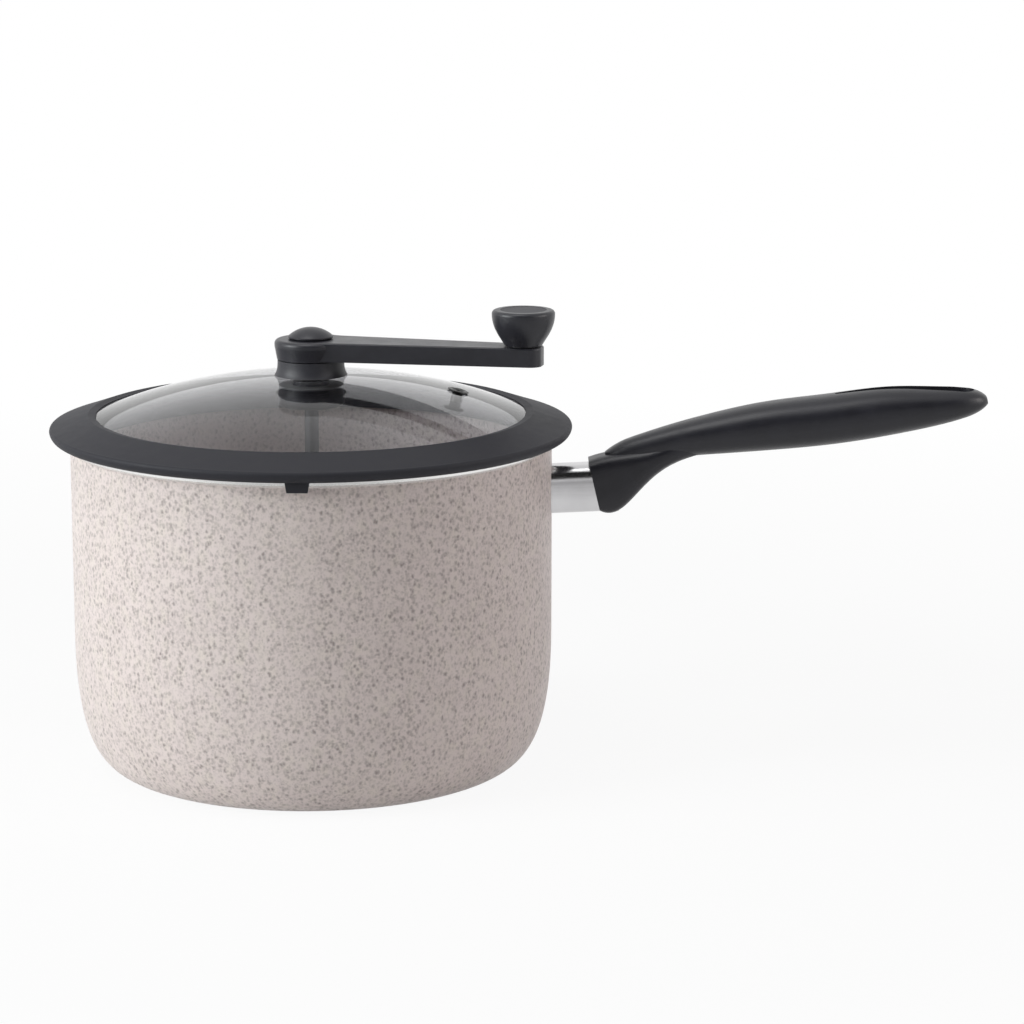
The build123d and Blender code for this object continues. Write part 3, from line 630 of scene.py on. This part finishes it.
class StageOperator(bpy.types.Operator):
    """Set the floor, the lamps, the room's light and the camera"""
    bl_idname = "popper.stage"
    bl_label = "Studio"

    def execute(self, context):
        look = context.scene.popper_stage
        scene = context.scene
        scene.view_settings.view_transform = "Standard"
        self.floor()
        self.room(scene, look)
        for name, power, place, width, tint in LAMPS:
            self.lamp(name, getattr(look, power), place, width, tint)
        for card in CARDS:
            self.card(*card)
        deselect()
        bpy.ops.object.camera_add(location=look.place, rotation=(pi / 2 - look.pitch, 0.0, 0.0))
        camera = context.object
        camera.name = "camera"
        camera.data.sensor_width = SENSOR
        camera.data.lens = look.lens
        scene.camera = camera
        return {"FINISHED"}

    @staticmethod
    def floor():
        """A floor that shows white and keeps the object's shadow."""
        deselect()
        bpy.ops.mesh.primitive_plane_add(size=FLOOR_WIDTH)
        floor = bpy.context.object
        floor.name = "floor"
        paint = Finish("floor_white", Base_Color=(0.8, 0.8, 0.8), Roughness=0.9, Specular_IOR_Level=0.1)
        near_share, shadow_r, clear_r = 0.92, 0.35, 0.9
        share = paint.radius().between(shadow_r, clear_r) * (1.0 - near_share) + near_share
        lit = Link(paint.tree, paint.shader.outputs[0])
        paint.show(paint.white_for_camera(lit, "ShaderNodeEmission", share), "Material Output")
        floor.data.materials.append(paint.material)

    @staticmethod
    def card(name, place, turn, depth, bright):
        """A card in front of the object that only gloss sees: it gives the polished steel its bands."""
        deselect()
        bpy.ops.mesh.primitive_plane_add(size=1.0, location=place, rotation=turn)
        card = bpy.context.object
        card.name = name
        card.scale = (CARD_WIDTH, depth, 1.0)
        paint = Finish(name, Base_Color=(0.0, 0.0, 0.0), Roughness=1.0, Emission_Color=(1.0, 1.0, 1.0),
                       Emission_Strength=bright)
        card.data.materials.append(paint.material)
        card.visible_camera = False
        card.visible_diffuse = False
        card.visible_transmission = False
        card.visible_shadow = False

    @staticmethod
    def room(scene, look):
        """Even light all round, with a white background."""
        world = bpy.data.worlds.new("room")
        world.use_nodes = True
        scene.world = world
        room = Nodes(world.node_tree)
        light = room.tree.nodes["Background"]
        light.inputs["Color"].default_value = (1.0, 1.0, 1.0, 1.0)
        light.inputs["Strength"].default_value = look.sky
        lit = Link(room.tree, light.outputs[0])
        room.show(room.white_for_camera(lit, "ShaderNodeBackground", 1.0), "World Output")

    @staticmethod
    def lamp(name, power, place, width, tint):
        """A square soft lamp, aimed at the object."""
        deselect()
        turn = (Vector(LAMP_AIM) - Vector(place)).to_track_quat("-Z", "Y").to_euler()
        bpy.ops.object.light_add(type="AREA", location=place, rotation=turn)
        lamp = bpy.context.object
        lamp.name = name
        lamp.data.energy = power
        lamp.data.size = width
        lamp.data.color = tint


class PopperPanel(bpy.types.Panel):
    """Lists the popper's pieces and their settings"""
    bl_idname = "VIEW3D_PT_popper"
    bl_label = "Popcorn popper"
    bl_space_type = "VIEW_3D"
    bl_region_type = "UI"
    bl_category = "Popper"

    def draw(self, context):
        for look in LOOKS:
            group = getattr(context.scene, look)
            box = self.layout.box()
            for name in group.bl_rna.properties.keys():
                if name not in ("rna_type", "name"):
                    box.prop(group, name)
        for step in STEPS:
            self.layout.operator(step.bl_idname)


LOOKS = {
    "popper_pot": PotLook,
    "popper_handle": HandleLook,
    "popper_lid": LidLook,
    "popper_steel": SteelLook,
    "popper_stage": StageLook,
}
STEPS = (PotOperator, HandleOperator, LidOperator, CollarOperator, StirrerOperator, CrankOperator,
         KnobOperator, StageOperator)


def register():
    """Make the classes known and hang the settings on the scene."""
    for kind in (*LOOKS.values(), *STEPS, PopperPanel):
        bpy.utils.register_class(kind)
    for name, kind in LOOKS.items():
        setattr(bpy.types.Scene, name, bpy.props.PointerProperty(type=kind))


def unregister():
    """Undo what register does."""
    for name in LOOKS:
        delattr(bpy.types.Scene, name)
    for kind in reversed((*LOOKS.values(), *STEPS, PopperPanel)):
        bpy.utils.unregister_class(kind)


def main():
    """Dress the frame and set the stage."""
    register()
    deselect()
    bpy.ops.popper.pot()
    bpy.ops.popper.handle()
    bpy.ops.popper.lid()
    bpy.ops.popper.collar()
    bpy.ops.popper.stirrer()
    bpy.ops.popper.crank()
    bpy.ops.popper.knob()
    bpy.ops.popper.stage()


if __name__ == "__main__":
    main()
